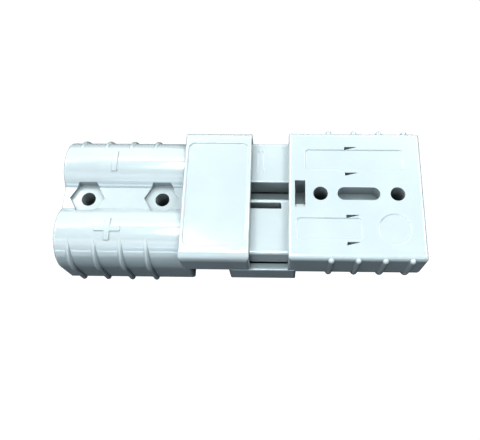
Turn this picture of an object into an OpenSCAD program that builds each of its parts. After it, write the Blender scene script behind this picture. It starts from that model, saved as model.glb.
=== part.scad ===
// Genderless power connector: two identical two-pole halves, plugged part
// way into each other.
//
// Each half is a one-piece moulded housing with two crimp contacts and the
// two leaf springs under them. A half has a flat side, two cable barrels on
// the other side, a tongue that carries the contacts at the front, and a
// hood that covers the other half's tongue. Turning a half by 180 degrees
// about the cross axis gives the half that mates with it.
//
// Frame of a half: the hood's front edge is at x = 0 and the cable end is
// at -x, y runs across the barrels, and the flat side lies on z = 0.
// Frame of the pair: origin under the middle of the pair, at the level of
// the surface that it lies on, +X along the pair, +Z up.

/* [Shell] */
// Length of one half, hood edge to cable end
shell_l = 79.4; // [77:0.2:84]
// Width across the two barrels
shell_w = 56.4; // [56:0.2:58]
// Height, flat side to top of hood
shell_h = 29.6; // [29.6:0.2:31]
// Length by which the two hoods overlap in the shown position
hood_lap = 9.2; // [6:0.2:14]

/* [Barrels] */
// Outer diameter of a cable barrel
barrel_d = 26.2; // [25.6:0.2:26.6]
// How far a barrel's crest lies below the top of the hood
crest_drop = 1.6; // [1.2:0.2:2]
// Diameter of the cable entry bore
bore_d = 19; // [17:0.5:19.5]
// Height of the valley floor between the barrels
valley_z = 22.8; // [22:0.2:24]
// Number of grip ribs on each side
rib_count = 4; // [2:1:4]
// Distance between grip ribs
rib_pitch = 10.6; // [9:0.1:10.8]
// How far a grip rib stands out of the side
rib_out = 1.25; // [0.6:0.05:1.3]

/* [Hood] */
// Width of the hood
hood_w = 57; // [56.8:0.1:58]
// Length of the raised hood
hood_l = 28.05; // [27.6:0.05:29]
// Radius of the hood's long top edges
hood_r = 3.7; // [2.5:0.1:3.8]
// Thickness of the hood's top wall
hood_top = 3.8; // [3.6:0.1:3.8]

/* [Tongue] */
// Distance from the hood's front edge to the shoulder
shoulder = 24.7; // [24:0.1:25]
// Width of the tongue
tongue_w = 50; // [49.4:0.1:50.2]
// Step from the flat side down to the tongue
tongue_step = 4.0; // [4:0.1:4.4]

/* [Mounting] */
// Diameter of the two mounting holes
mount_d = 5.9; // [5:0.1:6.4]
// Distance between the mounting holes
mount_pitch = 31.35; // [31:0.05:31.75]
// Width across flats of the nut recesses
nut_af = 12.8; // [11:0.1:12.9]
// Height of the nut recess floor
nut_floor = 21.2; // [20.8:0.1:22]

/* [Contacts] */
// Outer diameter of the crimp barrel
crimp_d = 14.5; // [13:0.1:15]
// Inner diameter of the crimp barrel
crimp_bore = 11.2; // [9:0.1:11.6]
// Depth of the crimp barrel
crimp_depth = 22; // [18:0.5:23]
// Width of the contact blade
blade_w = 14.6; // [13:0.1:14.7]
// Thickness of the contact blade
blade_t = 3; // [2.6:0.1:3]
// Thickness of the leaf spring
spring_t = 0.8; // [0.6:0.1:1]
// Width of the leaf spring
spring_w = 12; // [9:0.5:13]

/* [Hidden] */
$fn = 72;
e = 0.6;                                  // overshoot of a cut
reach = hood_lap/2;                       // hood edge past the middle
br = barrel_d/2;
by = shell_w/2 - br;                      // barrel axis, across
bz = shell_h - crest_drop - br;           // barrel axis, up
mid = shell_h/2;                          // plane where the contacts meet
hood_z = mid + 0.15;                      // lower edge of the hood's sides
hood_in = shell_h - hood_top;             // underside of the hood's top
hood_iw = tongue_w + 0.8;                 // width inside the hood
tongue_top = mid - 0.2;                   // contact side of the tongue
tongue_f = 1.5;                           // tongue's end behind the hood edge
cav_x = shoulder + 0.7;                   // end wall of the hood's cavity
chan_w = 14.9;                            // contact channel, across
chan_z = tongue_step + 4.6;               // contact channel floor
lip = 1.2;                                // low wall at the channel's mouth
slot_y = [-0.6, 6.5];                     // slot through the tongue
key_y = [-5.3, -2.6];                     // key slot
key_d = 6;                                // key slot depth
key_l = 21.8;                             // key slot's end from hood edge
win_x = [27.3, 31.5];                     // core window in the flat side
win_y = [-5.9, 5.7];
win_z = 12.5;
bore_x = 36;                              // front end of the cable bore
mount_x = shoulder + 13;                  // first mounting hole
rib_x = 41.6;                             // first grip rib
rib_r = 1.25;                             // grip rib section radius
rib_low = 1.35;                           // a rib's lower end
blade_top = mid - 0.05;                   // wiping face of the contact
blade_z = blade_top - blade_t;
blade_f = tongue_f + lip + 0.2;           // front end of the blade
crimp_x = 38;                             // front end of the crimp barrel
crimp_end = crimp_x + crimp_depth + 4;
grey = [0.70, 0.74, 0.76];
silver = [0.86, 0.86, 0.85];
steel = [0.62, 0.63, 0.65];

// ---- plain helpers -------------------------------------------------------

// Extrudes a (y, z) outline along x, a (x, z) outline along y, and a
// (x, y) outline along z.
module ext_x(a, b) translate([a, 0, 0]) rotate([90, 0, 90])
    linear_extrude(height = b - a) children();
module ext_y(a, b) translate([0, b, 0]) rotate([90, 0, 0])
    linear_extrude(height = b - a) children();
module ext_z(a, b) translate([0, 0, a])
    linear_extrude(height = b - a) children();

module corner_cut(r) difference() {
    translate([-e, -e]) square([r + e, r + e]);
    translate([r, r]) circle(r);
}
// Rectangle from a to b with a radius for each corner, counter-clockwise
// from the lower left one.
module rrect(a, b, r) difference() {
    translate(a) square(b - a);
    if (r[0] > 0) translate(a) corner_cut(r[0]);
    if (r[1] > 0) translate([b[0], a[1]]) rotate(90) corner_cut(r[1]);
    if (r[2] > 0) translate(b) rotate(180) corner_cut(r[2]);
    if (r[3] > 0) translate([a[0], b[1]]) rotate(270) corner_cut(r[3]);
}
// Shallow recess with rounded corners and sloped walls, cut into z = 0
// from below; a and b are its mouth's corners.
module recess(a, b, r, d, s) {
    for (p = [[a[0] + r, a[1] + r], [b[0] - r, a[1] + r],
              [a[0] + r, b[1] - r], [b[0] - r, b[1] - r]])
        translate([p[0], p[1], -0.01]) cylinder(h = d + 0.01, r1 = r, r2 = r - s);
    ext_x(a[0] + r, b[0] - r)
        polygon([[a[1], -0.01], [b[1], -0.01], [b[1] - s, d], [a[1] + s, d]]);
    ext_y(a[1] + r, b[1] - r)
        polygon([[a[0], -0.01], [b[0], -0.01], [b[0] - s, d], [a[0] + s, d]]);
}

// ---- housing: solids -----------------------------------------------------

module slab() intersection() {
    ext_x(-shell_l, -shoulder)
        rrect([-shell_w/2, 0], [shell_w/2, bz], [2, 2, 0, 0]);
    ext_z(-e, bz + e)
        rrect([-shell_l, -shell_w/2], [-shoulder, shell_w/2], [1, 1.6, 1.6, 1]);
    ext_y(-shell_w, shell_w)
        rrect([-shell_l, 0], [-shoulder, bz], [1, 0.9, 0, 0]);
}
module barrel(s) translate([-shoulder, s*by, bz]) rotate([0, -90, 0])
    rotate_extrude() rrect([0, 0], [br, shell_l - shoulder], [0, 0, 1, 0]);
module web() ext_y(-by, by)
    rrect([-shell_l, 0], [-shoulder, valley_z], [1, 0.9, 0, 1]);
module hood_block() intersection() {
    ext_x(-hood_l, 0) rrect([-hood_w/2, hood_z], [hood_w/2, shell_h],
                            [0.5, 0.5, hood_r, hood_r]);
    ext_z(0, shell_h + e) rrect([-hood_l, -hood_w/2], [0, hood_w/2],
                                [1.2, 1.5, 1.5, 1.2]);
    ext_y(-hood_w, hood_w) rrect([-hood_l, hood_z], [0, shell_h],
                                 [0, 0.4, 0.8, 0.8]);
}
module tongue_block() intersection() {
    ext_x(-shoulder - 1, -tongue_f)
        rrect([-tongue_w/2, tongue_step], [tongue_w/2, tongue_top],
              [1.2, 1.2, 0, 0]);
    ext_z(0, mid) rrect([-shoulder - 1, -tongue_w/2], [-tongue_f, tongue_w/2],
                        [0, 1.5, 1.5, 0]);
    ext_y(-tongue_w, tongue_w)
        rrect([-shoulder - 1, tongue_step], [-tongue_f, tongue_top],
              [0, 1, 0.3, 0]);
}
// A grip rib: a ring set a little outwards of the barrel, so it sinks into
// the barrel near the crest, and a straight part down the side wall.
module grip_rib(s) {
    ring = br - rib_r;
    translate([0, s*(by + rib_out), bz - 0.35]) {
        rotate([0, 90, 0]) rotate_extrude() translate([ring, 0]) circle(rib_r);
        translate([0, s*ring, rib_low - (bz - 0.35)])
            cylinder(h = bz - rib_low + 0.6, r = rib_r - 0.03);
        translate([0, s*ring, rib_low - (bz - 0.35)]) sphere(rib_r - 0.03);
    }
}
module grip_ribs() for (s = [-1, 1], i = [0 : rib_count - 1])
    translate([-rib_x - i*rib_pitch, 0, 0]) grip_rib(s);
// Raised polarity signs on the barrels: plus on one, minus on the other.
module raised(s) intersection() {
    translate([-66, s*by, bz]) rotate([0, 90, 0])
        cylinder(h = 20, r = br + 0.35);
    ext_z(bz, shell_h) children();
}
module polarity_signs() {
    raised(-1) translate([-57.6, -by - 0.4]) {
        square([10.4, 2.2], center = true);
        square([2.2, 9.4], center = true);
    }
    raised(1) translate([-57.8, by]) square([2.2, 9.4], center = true);
}

// ---- housing: cuts -------------------------------------------------------

module hood_cavity() difference() {
    ext_x(-cav_x, e) rrect([-hood_iw/2, hood_z - e], [hood_iw/2, hood_in],
                           [0, 0, 1, 1]);
    // insulating rib that enters the other half's slot, and the key rib
    ext_z(hood_z + 0.05, shell_h)
        rrect([-cav_x - e, slot_y[0] + 0.25], [-1, slot_y[1] - 0.25],
              [0, 0.8, 0.8, 0]);
    ext_z(shell_h - tongue_step - key_d + 0.5, shell_h)
        rrect([-cav_x - e, key_y[0] + 0.25], [-3.5, key_y[1] - 0.25],
              [0, 0.8, 0.8, 0]);
}
module contact_cuts(s) {
    // open channel in the tongue, and its mouth over the low lip
    translate([-bore_x - e, s*by - chan_w/2, chan_z])
        cube([bore_x + e - tongue_f - lip, chan_w, hood_z + 0.01 - chan_z]);
    translate([-tongue_f - lip - e, s*by - chan_w/2, chan_z + 1.9])
        cube([tongue_f + lip + 2*e, chan_w, hood_z + 0.01 - chan_z - 1.9]);
    // passage from the cable bore to the tongue
    translate([-bore_x - e, s*by - chan_w/2, chan_z])
        cube([bore_x + e - cav_x + 0.1, chan_w, 9]);
    // cable bore
    translate([-bore_x, s*by, bz]) rotate([0, -90, 0])
        cylinder(h = shell_l - bore_x + e, d = bore_d);
}
module tongue_slots() {
    translate([-win_x[1], slot_y[0], tongue_step])
        cube([win_x[1] + e, slot_y[1] - slot_y[0], tongue_top - tongue_step + 0.01]);
    translate([-shoulder, slot_y[0], 0])
        cube([shoulder + e, slot_y[1] - slot_y[0], tongue_step + 0.01]);
    ext_z(tongue_step - e, tongue_step + key_d)
        rrect([-key_l, key_y[0]], [0, key_y[1]], [0.3, 0, 0, 1]);
    // rounded edges of the slot
    ext_x(-shoulder, 0) {
        translate([slot_y[0], tongue_step]) rotate(90) corner_cut(1.8);
        translate([slot_y[1], tongue_step]) corner_cut(0.5);
    }
}
module window() {
    translate([-win_x[1], win_y[0], -e])
        cube([win_x[1] - win_x[0], win_y[1] - win_y[0], 1.2 + e]);
    translate([-win_x[1], win_y[0] + 1.5, 0])
        cube([win_x[1] - win_x[0], win_y[1] - win_y[0] - 1.5, win_z]);
}
module mounting_cuts() {
    for (i = [0, 1]) translate([-mount_x - i*mount_pitch, 0, 0]) {
        translate([0, 0, -e]) cylinder(h = shell_h, d = mount_d);
        translate([0, 0, nut_floor])
            cylinder(h = shell_h - nut_floor, r = nut_af/2/cos(30), $fn = 6);
    }
    // weight-saving pocket between the holes
    ext_z(-e, 7) translate([-mount_x - mount_pitch/2 + 0.1, 0]) {
        square([11.7, 5.6], center = true);
        for (s = [-1, 1]) translate([s*5.85, 0]) circle(2.8);
    }
}
// Wedge-shaped core holes in the flat side, deep at the front and running
// out to nothing towards the cable end.
module wedges() for (y = [21.3, 9.4, -9.3, -20.8]) intersection() {
    ext_z(-e, 4) polygon([[-47.9, y], [-47.9, y - 1.4], [-53.3, y]]);
    ext_y(-shell_w, shell_w)
        polygon([[-47.9, -e], [-47.9, 2.6], [-53.3, 0.4], [-53.3, -e]]);
}
// Sunk label fields, left bare.
module label_fields() {
    recess([-72.3, 10.5], [-31.4, 20.1], 1.5, 0.35, 0.4);
    recess([-54.2, -20.0], [-27.9, -10.5], 1.5, 0.35, 0.4);
    translate([-67.1, -15.3, -0.01]) cylinder(h = 0.31, r1 = 6.75, r2 = 6.3);
    translate([0, 0, shell_h]) mirror([0, 0, 1])
        recess([-26.8, -22.9], [-1.3, 22.9], 3, 0.4, 0.4);
    translate([0, 0, tongue_step]) recess([-14.3, 10.9], [-11.5, 21.2], 0.9, 0.2, 0.2);
}

module housing_half() difference() {
    union() {
        slab();
        for (s = [-1, 1]) barrel(s);
        web();
        hood_block();
        tongue_block();
        grip_ribs();
        polarity_signs();
    }
    hood_cavity();
    for (s = [-1, 1]) contact_cuts(s);
    tongue_slots();
    window();
    mounting_cuts();
    wedges();
    label_fields();
}

// ---- contact: crimp barrel, spoon-shaped neck, blade with a hooked tip ----

module contact_half(s) translate([0, s*by, 0]) {
    difference() {
        union() {
            translate([-crimp_x, 0, bz]) rotate([0, -90, 0])
                cylinder(h = crimp_end - crimp_x, d = crimp_d);
            intersection() {
                translate([-crimp_x - 1, 0, bz]) rotate([0, 90, 0])
                    cylinder(h = 8, d = crimp_d);
                ext_y(-crimp_d, crimp_d)
                    polygon([[-crimp_x, bz - crimp_d/2], [-crimp_x, bz + crimp_d/2],
                             [-crimp_x + 3, blade_top], [-crimp_x + 7, blade_top],
                             [-crimp_x + 7, blade_z], [-crimp_x + 3, blade_z]]);
            }
        }
        translate([-crimp_end - e, 0, bz]) rotate([0, 90, 0])
            cylinder(h = crimp_depth + e, d = crimp_bore);
    }
    intersection() {
        ext_y(-blade_w/2, blade_w/2) {
            rrect([-crimp_x + 2.6, blade_z], [-blade_f, blade_top],
                  [0, 0, 1.4, 0]);
            rrect([-blade_f - 1.5, blade_z - 2.3], [-blade_f, blade_z + 1],
                  [0.6, 0.6, 0, 0]);
        }
        ext_z(0, shell_h)
            rrect([-crimp_x, -blade_w/2], [-blade_f, blade_w/2],
                  [0, 1.5, 1.5, 0]);
    }
}

// ---- leaf spring: a bowed strip between channel floor and blade ----------

module spring_half(s) {
    x0 = -blade_f - 1.6;
    half = 14.6;
    rise = blade_z - 0.02 - spring_t - chan_z;
    r = (pow(half - 0.6, 2) + rise*rise)/(2*rise);
    translate([0, s*by, 0]) ext_y(-spring_w/2, spring_w/2)
        intersection() {
            difference() {
                translate([x0 - half, chan_z + rise - r]) circle(r + spring_t, $fn = 360);
                translate([x0 - half, chan_z + rise - r]) circle(r, $fn = 360);
            }
            translate([x0 - 2*half, chan_z]) square([2*half, 20]);
        }
}

// ---- the two halves in place ---------------------------------------------

module place_a() translate([reach, 0, 0]) children();
module place_b() translate([0, 0, shell_h]) rotate([0, 180, 0])
    translate([reach, 0, 0]) children();

module housing_a() color(grey) place_a() housing_half();
module housing_b() color(grey) place_b() housing_half();
module contact_a_pos() color(silver) place_a() contact_half(-1);
module contact_a_neg() color(silver) place_a() contact_half(1);
module contact_b_pos() color(silver) place_b() contact_half(-1);
module contact_b_neg() color(silver) place_b() contact_half(1);
module spring_a_pos() color(steel) place_a() spring_half(-1);
module spring_a_neg() color(steel) place_a() spring_half(1);
module spring_b_pos() color(steel) place_b() spring_half(-1);
module spring_b_neg() color(steel) place_b() spring_half(1);

housing_a();
contact_a_pos();
contact_a_neg();
spring_a_pos();
spring_a_neg();
housing_b();
contact_b_pos();
contact_b_neg();
spring_b_pos();
spring_b_neg();
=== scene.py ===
import math

import bpy
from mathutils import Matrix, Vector


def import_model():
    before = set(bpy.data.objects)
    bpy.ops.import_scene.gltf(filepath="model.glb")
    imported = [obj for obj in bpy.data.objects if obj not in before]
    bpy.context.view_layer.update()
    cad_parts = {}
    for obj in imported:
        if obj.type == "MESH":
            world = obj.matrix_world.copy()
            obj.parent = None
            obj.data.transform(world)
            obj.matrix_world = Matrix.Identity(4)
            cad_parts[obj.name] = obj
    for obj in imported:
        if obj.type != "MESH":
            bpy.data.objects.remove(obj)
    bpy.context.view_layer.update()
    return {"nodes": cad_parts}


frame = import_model()
scene = bpy.context.scene
nodes = frame["nodes"]
MM = 0.001


# ---- node helpers ---------------------------------------------------------

def new_material(name):
    mat = bpy.data.materials.new(name)
    mat.use_nodes = True
    nt = mat.node_tree
    nt.nodes.clear()
    out = nt.nodes.new("ShaderNodeOutputMaterial")
    bsdf = nt.nodes.new("ShaderNodeBsdfPrincipled")
    nt.links.new(bsdf.outputs["BSDF"], out.inputs["Surface"])
    return mat, nt, bsdf


def coords(nt, scale=(1, 1, 1)):
    tc = nt.nodes.new("ShaderNodeTexCoord")
    mp = nt.nodes.new("ShaderNodeMapping")
    mp.inputs["Scale"].default_value = scale
    nt.links.new(tc.outputs["Object"], mp.inputs["Vector"])
    return mp.outputs["Vector"]


def noise(nt, vec, scale, detail=3.0, rough=0.55, distortion=0.0):
    n = nt.nodes.new("ShaderNodeTexNoise")
    n.inputs["Scale"].default_value = scale
    n.inputs["Detail"].default_value = detail
    n.inputs["Roughness"].default_value = rough
    n.inputs["Distortion"].default_value = distortion
    nt.links.new(vec, n.inputs["Vector"])
    return n.outputs["Fac"]


def remap(nt, value, a, b, c, d):
    m = nt.nodes.new("ShaderNodeMapRange")
    for k, v in zip(("From Min", "From Max", "To Min", "To Max"), (a, b, c, d)):
        m.inputs[k].default_value = v
    nt.links.new(value, m.inputs["Value"])
    return m.outputs["Result"]


def ramp(nt, value, stops):
    r = nt.nodes.new("ShaderNodeValToRGB")
    e = r.color_ramp.elements
    while len(e) > 1:
        e.remove(e[-1])
    e[0].position, e[0].color = stops[0][0], (*stops[0][1], 1)
    for p, c in stops[1:]:
        el = e.new(p)
        el.color = (*c, 1)
    nt.links.new(value, r.inputs["Fac"])
    return r.outputs["Color"]


def bump(nt, height, strength, distance, normal=None):
    b = nt.nodes.new("ShaderNodeBump")
    b.inputs["Strength"].default_value = strength
    b.inputs["Distance"].default_value = distance
    nt.links.new(height, b.inputs["Height"])
    if normal is not None:
        nt.links.new(normal, b.inputs["Normal"])
    return b.outputs["Normal"]


def soft_edges(nt, radius, samples=6):
    b = nt.nodes.new("ShaderNodeBevel")
    b.samples = samples
    b.inputs["Radius"].default_value = radius
    return b.outputs["Normal"]


# ---- materials ------------------------------------------------------------

def plastic():
    mat, nt, bsdf = new_material("shell_plastic")
    vec = coords(nt)
    tint = noise(nt, vec, 55, 4)
    col = ramp(nt, tint, [(0.30, (0.232, 0.262, 0.272)), (0.70, (0.248, 0.277, 0.287))])
    nt.links.new(col, bsdf.inputs["Base Color"])
    rough = noise(nt, vec, 320, 5)
    nt.links.new(remap(nt, rough, 0.3, 0.7, 0.075, 0.125), bsdf.inputs["Roughness"])
    bsdf.inputs["IOR"].default_value = 1.55
    n = soft_edges(nt, 0.25 * MM)
    n = bump(nt, noise(nt, vec, 90, 1), 0.35, 0.05 * MM, n)
    n = bump(nt, noise(nt, vec, 1500, 2), 0.12, 0.01 * MM, n)
    nt.links.new(n, bsdf.inputs["Normal"])
    return mat


def plated():
    mat, nt, bsdf = new_material("plated_contact")
    vec = coords(nt)
    tarnish = noise(nt, vec, 140, 5, 0.6)
    col = ramp(nt, tarnish, [(0.3, (0.74, 0.70, 0.62)), (0.65, (0.88, 0.87, 0.85))])
    nt.links.new(col, bsdf.inputs["Base Color"])
    bsdf.inputs["Metallic"].default_value = 1.0
    streak = noise(nt, coords(nt, (0.06, 1, 1)), 2400, 3)
    nt.links.new(remap(nt, streak, 0.3, 0.7, 0.2, 0.38), bsdf.inputs["Roughness"])
    n = soft_edges(nt, 0.25 * MM)
    n = bump(nt, streak, 0.25, 0.01 * MM, n)
    nt.links.new(n, bsdf.inputs["Normal"])
    return mat


def spring():
    mat, nt, bsdf = new_material("spring_steel")
    vec = coords(nt)
    col = ramp(nt, noise(nt, vec, 200, 4), [(0.3, (0.50, 0.50, 0.51)), (0.7, (0.60, 0.60, 0.62))])
    nt.links.new(col, bsdf.inputs["Base Color"])
    bsdf.inputs["Metallic"].default_value = 1.0
    grain = noise(nt, coords(nt, (0.04, 1, 1)), 3000, 3)
    nt.links.new(remap(nt, grain, 0.3, 0.7, 0.22, 0.42), bsdf.inputs["Roughness"])
    n = soft_edges(nt, 0.12 * MM)
    n = bump(nt, grain, 0.3, 0.01 * MM, n)
    nt.links.new(n, bsdf.inputs["Normal"])
    return mat


MATS = {"housing": (plastic(), "shell"), "contact": (plated(), "plated_contact"),
        "spring": (spring(), "spring_steel")}
for name, obj in nodes.items():
    mat, slot = MATS[name.split("_")[0]]
    obj.data.materials.clear()
    obj.data.materials.append(mat)


# ---- floor, light, camera -------------------------------------------------

def floor():
    bpy.ops.mesh.primitive_plane_add(size=6, location=(0, 0, 0))
    obj = bpy.context.object
    obj.name = "floor"
    mat, nt, bsdf = new_material("floor_white")
    bsdf.inputs["Base Color"].default_value = (0.03, 0.035, 0.04, 1)
    bsdf.inputs["Roughness"].default_value = 0.8
    bsdf.inputs["Specular IOR Level"].default_value = 0.0
    em = nt.nodes.new("ShaderNodeEmission")
    em.inputs["Color"].default_value = (1, 1, 1, 1)
    em.inputs["Strength"].default_value = 1.05
    lp = nt.nodes.new("ShaderNodeLightPath")
    mix = nt.nodes.new("ShaderNodeMixShader")
    nt.links.new(lp.outputs["Is Camera Ray"], mix.inputs["Fac"])
    nt.links.new(bsdf.outputs["BSDF"], mix.inputs[1])
    nt.links.new(em.outputs["Emission"], mix.inputs[2])
    out = [n for n in nt.nodes if n.type == "OUTPUT_MATERIAL"][0]
    nt.links.new(mix.outputs["Shader"], out.inputs["Surface"])
    obj.data.materials.append(mat)


def area(name, loc, size, power, color=(1, 1, 1), target=(0, 0, 0.015), size_y=None):
    light = bpy.data.lights.new(name, "AREA")
    light.shape = "RECTANGLE"
    light.size = size
    light.size_y = size_y or size
    light.energy = power
    light.color = color
    obj = bpy.data.objects.new(name, light)
    scene.collection.objects.link(obj)
    obj.location = loc
    obj.rotation_euler = (Vector(target) - Vector(loc)).to_track_quat("-Z", "Y").to_euler()
    return obj


def world(patches, base, low):
    """Studio seen by the surfaces: a base radiance above the horizon, another
    below it, and soft patches. A "ring" patch is (azimuth, elevation, half
    angles, softness) in degrees; a "top" patch is (u, v, half widths, skew,
    softness) on the plane z = 1 above the object. Each ends with a colour."""
    w = bpy.data.worlds.new("studio")
    scene.world = w
    w.use_nodes = True
    nt = w.node_tree
    nt.nodes.clear()
    out = nt.nodes.new("ShaderNodeOutputWorld")
    bg = nt.nodes.new("ShaderNodeBackground")
    nt.links.new(bg.outputs["Background"], out.inputs["Surface"])
    tc = nt.nodes.new("ShaderNodeTexCoord")
    sep = nt.nodes.new("ShaderNodeSeparateXYZ")
    nt.links.new(tc.outputs["Generated"], sep.inputs[0])

    def calc(op, a, b=None, c=None):
        m = nt.nodes.new("ShaderNodeMath")
        m.operation = op
        for k, v in enumerate((a, b, c)):
            if v is None:
                continue
            if isinstance(v, (int, float)):
                m.inputs[k].default_value = v
            else:
                nt.links.new(v, m.inputs[k])
        return m.outputs[0]

    def window(value, half, soft):
        m = nt.nodes.new("ShaderNodeMapRange")
        m.interpolation_type = "SMOOTHSTEP"
        m.inputs["From Min"].default_value = half + soft / 2
        m.inputs["From Max"].default_value = half - soft / 2
        nt.links.new(calc("ABSOLUTE", value), m.inputs["Value"])
        return m.outputs["Result"]

    el = calc("ARCSINE", sep.outputs["Z"])
    az = calc("ARCTAN2", sep.outputs["Y"], sep.outputs["X"])
    up = calc("MAXIMUM", sep.outputs["Z"], 0.05)
    u = calc("DIVIDE", sep.outputs["X"], up)
    v = calc("DIVIDE", sep.outputs["Y"], up)
    rad = math.radians

    sky = nt.nodes.new("ShaderNodeMix")
    sky.name = "base"
    sky.data_type = "RGBA"
    sky.inputs["A"].default_value = (*low, 1)
    sky.inputs["B"].default_value = (*base, 1)
    nt.links.new(remap(nt, el, -0.02, 0.02, 0, 1), sky.inputs["Factor"])
    total = sky.outputs["Result"]
    for n, (kind, a, e, ha, he, skew, soft, col) in enumerate(patches):
        if kind == "ring":
            d = calc("WRAP", calc("SUBTRACT", az, rad(a)), math.pi, -math.pi)
            mask = calc("MULTIPLY", window(d, rad(ha), rad(skew)),
                        window(calc("SUBTRACT", el, rad(e)), rad(he), rad(soft)))
        else:
            du = calc("SUBTRACT", u, a)
            dv = calc("ADD", calc("SUBTRACT", v, e), calc("MULTIPLY", du, skew))
            mask = calc("MULTIPLY", window(du, ha, soft), window(dv, he, soft))
            mask = calc("MULTIPLY", mask, calc("GREATER_THAN", sep.outputs["Z"], 0.1))
        add = nt.nodes.new("ShaderNodeMix")
        add.name = "patch_%02d" % n
        add.data_type = "RGBA"
        add.blend_type = "ADD"
        add.clamp_factor = False
        nt.links.new(mask, add.inputs["Factor"])
        nt.links.new(total, add.inputs["A"])
        add.inputs["B"].default_value = (*col, 1)
        total = add.outputs["Result"]
    nt.links.new(total, bg.inputs["Color"])
    w.cycles.sampling_method = "MANUAL"
    w.cycles.sample_map_resolution = 1024


# azimuth 90 is the far side, 270 the near side
WORLD = [
    ("top", -0.27, 0.62, 0.06, 0.085, 0.0, 0.03, (14, 15, 16)),       # lamp
    ("top", -0.085, 0.10, 0.115, 0.20, 0.5, 0.03, (14, 15, 15)),      # softbox overhead
    ("ring", 254, 20, 9, 1.6, 4, 1.5, (6, 9, 11)),                    # bright slit, near side
    ("ring", 256, 38, 8, 3, 4, 3, (2, 3, 4)),
    ("ring", 30, 51, 16, 9, 8, 6, (21, 20, 18.5)),
    ("ring", 150, 51, 16, 9, 8, 6, (24, 23, 21.5)),
    ("ring", 90, 51, 45, 9, 12, 6, (3, 3, 3)),
    ("ring", 210, 51, 30, 9, 15, 6, (3, 3, 3)),
    ("ring", 255, 51, 15, 9, 10, 6, (3, 3, 3)),
    ("ring", 300, 51, 30, 9, 15, 6, (3, 3, 3)),
    ("ring", 350, 51, 20, 9, 15, 6, (3, 3, 3)),
    ("ring", 30, 31, 30, 11, 15, 8, (2, 2, 2)),
    ("ring", 90, 31, 30, 11, 15, 8, (2, 2, 2)),
    ("ring", 150, 31, 30, 11, 15, 8, (2, 2, 2)),
    ("ring", 210, 31, 30, 11, 15, 8, (2, 2, 2)),
    ("ring", 255, 31, 15, 11, 10, 8, (2, 2, 2)),
    ("ring", 300, 31, 30, 11, 15, 8, (0, 0, 0)),
    ("ring", 350, 31, 20, 11, 15, 8, (0, 0, 0)),
    ("ring", 30, 9, 30, 11, 15, 6, (2, 2, 2)),
    ("ring", 90, 9, 30, 11, 15, 6, (2, 2, 2)),
    ("ring", 150, 9, 30, 11, 15, 6, (2, 2, 2)),
    ("ring", 210, 9, 30, 11, 15, 6, (2, 2, 2)),
    ("ring", 255, 9, 15, 11, 10, 6, (2, 2, 2)),
    ("ring", 300, 9, 30, 11, 15, 6, (0, 0, 0)),
    ("ring", 350, 9, 20, 11, 15, 6, (0, 0, 0)),
    ("ring", 20, 69, 40, 9, 15, 6, (1, 1, 1)),
    ("ring", 90, 69, 30, 9, 15, 6, (1, 1, 1)),
    ("ring", 150, 69, 30, 9, 15, 6, (1, 1, 1)),
    ("ring", 210, 69, 30, 9, 15, 6, (1, 1, 1)),
    ("ring", 270, 69, 30, 9, 15, 6, (1, 1, 1)),
    ("ring", 325, 69, 25, 9, 15, 6, (1, 1, 1)),
    ("ring", 0, 90, 190, 13, 1, 6, (3, 4, 4)),                         # around the zenith
]
floor()
world(WORLD, (0.10, 0.16, 0.22), (0.02, 0.025, 0.03))

cam = bpy.data.cameras.new("camera")
cam_obj = bpy.data.objects.new("camera", cam)
scene.collection.objects.link(cam_obj)
scene.camera = cam_obj
cam.sensor_width = 36
cam.sensor_fit = "HORIZONTAL"
FOC, PPX, PPY = 567.1935, 271.0434, 220.0
cam.lens = FOC / 480 * 36
cam.shift_x = -(PPX - 240) / 480
cam.shift_y = (PPY - 220) / 480
cam_obj.location = (0.0174081, -0.0929523, 0.2413999)
cam_obj.rotation_euler = (0.3659, 0.0141, 0.0159)
cam.clip_start, cam.clip_end = 0.01, 20

scene.view_settings.view_transform = "Standard"
scene.view_settings.look = "None"
TONE = 1.35
scene.view_settings.use_curve_mapping = True
curve = scene.view_settings.curve_mapping.curves[3]
for k in (0.02, 0.06, 0.14, 0.3, 0.6):
    curve.points.new(k, k ** TONE)
scene.view_settings.curve_mapping.update()
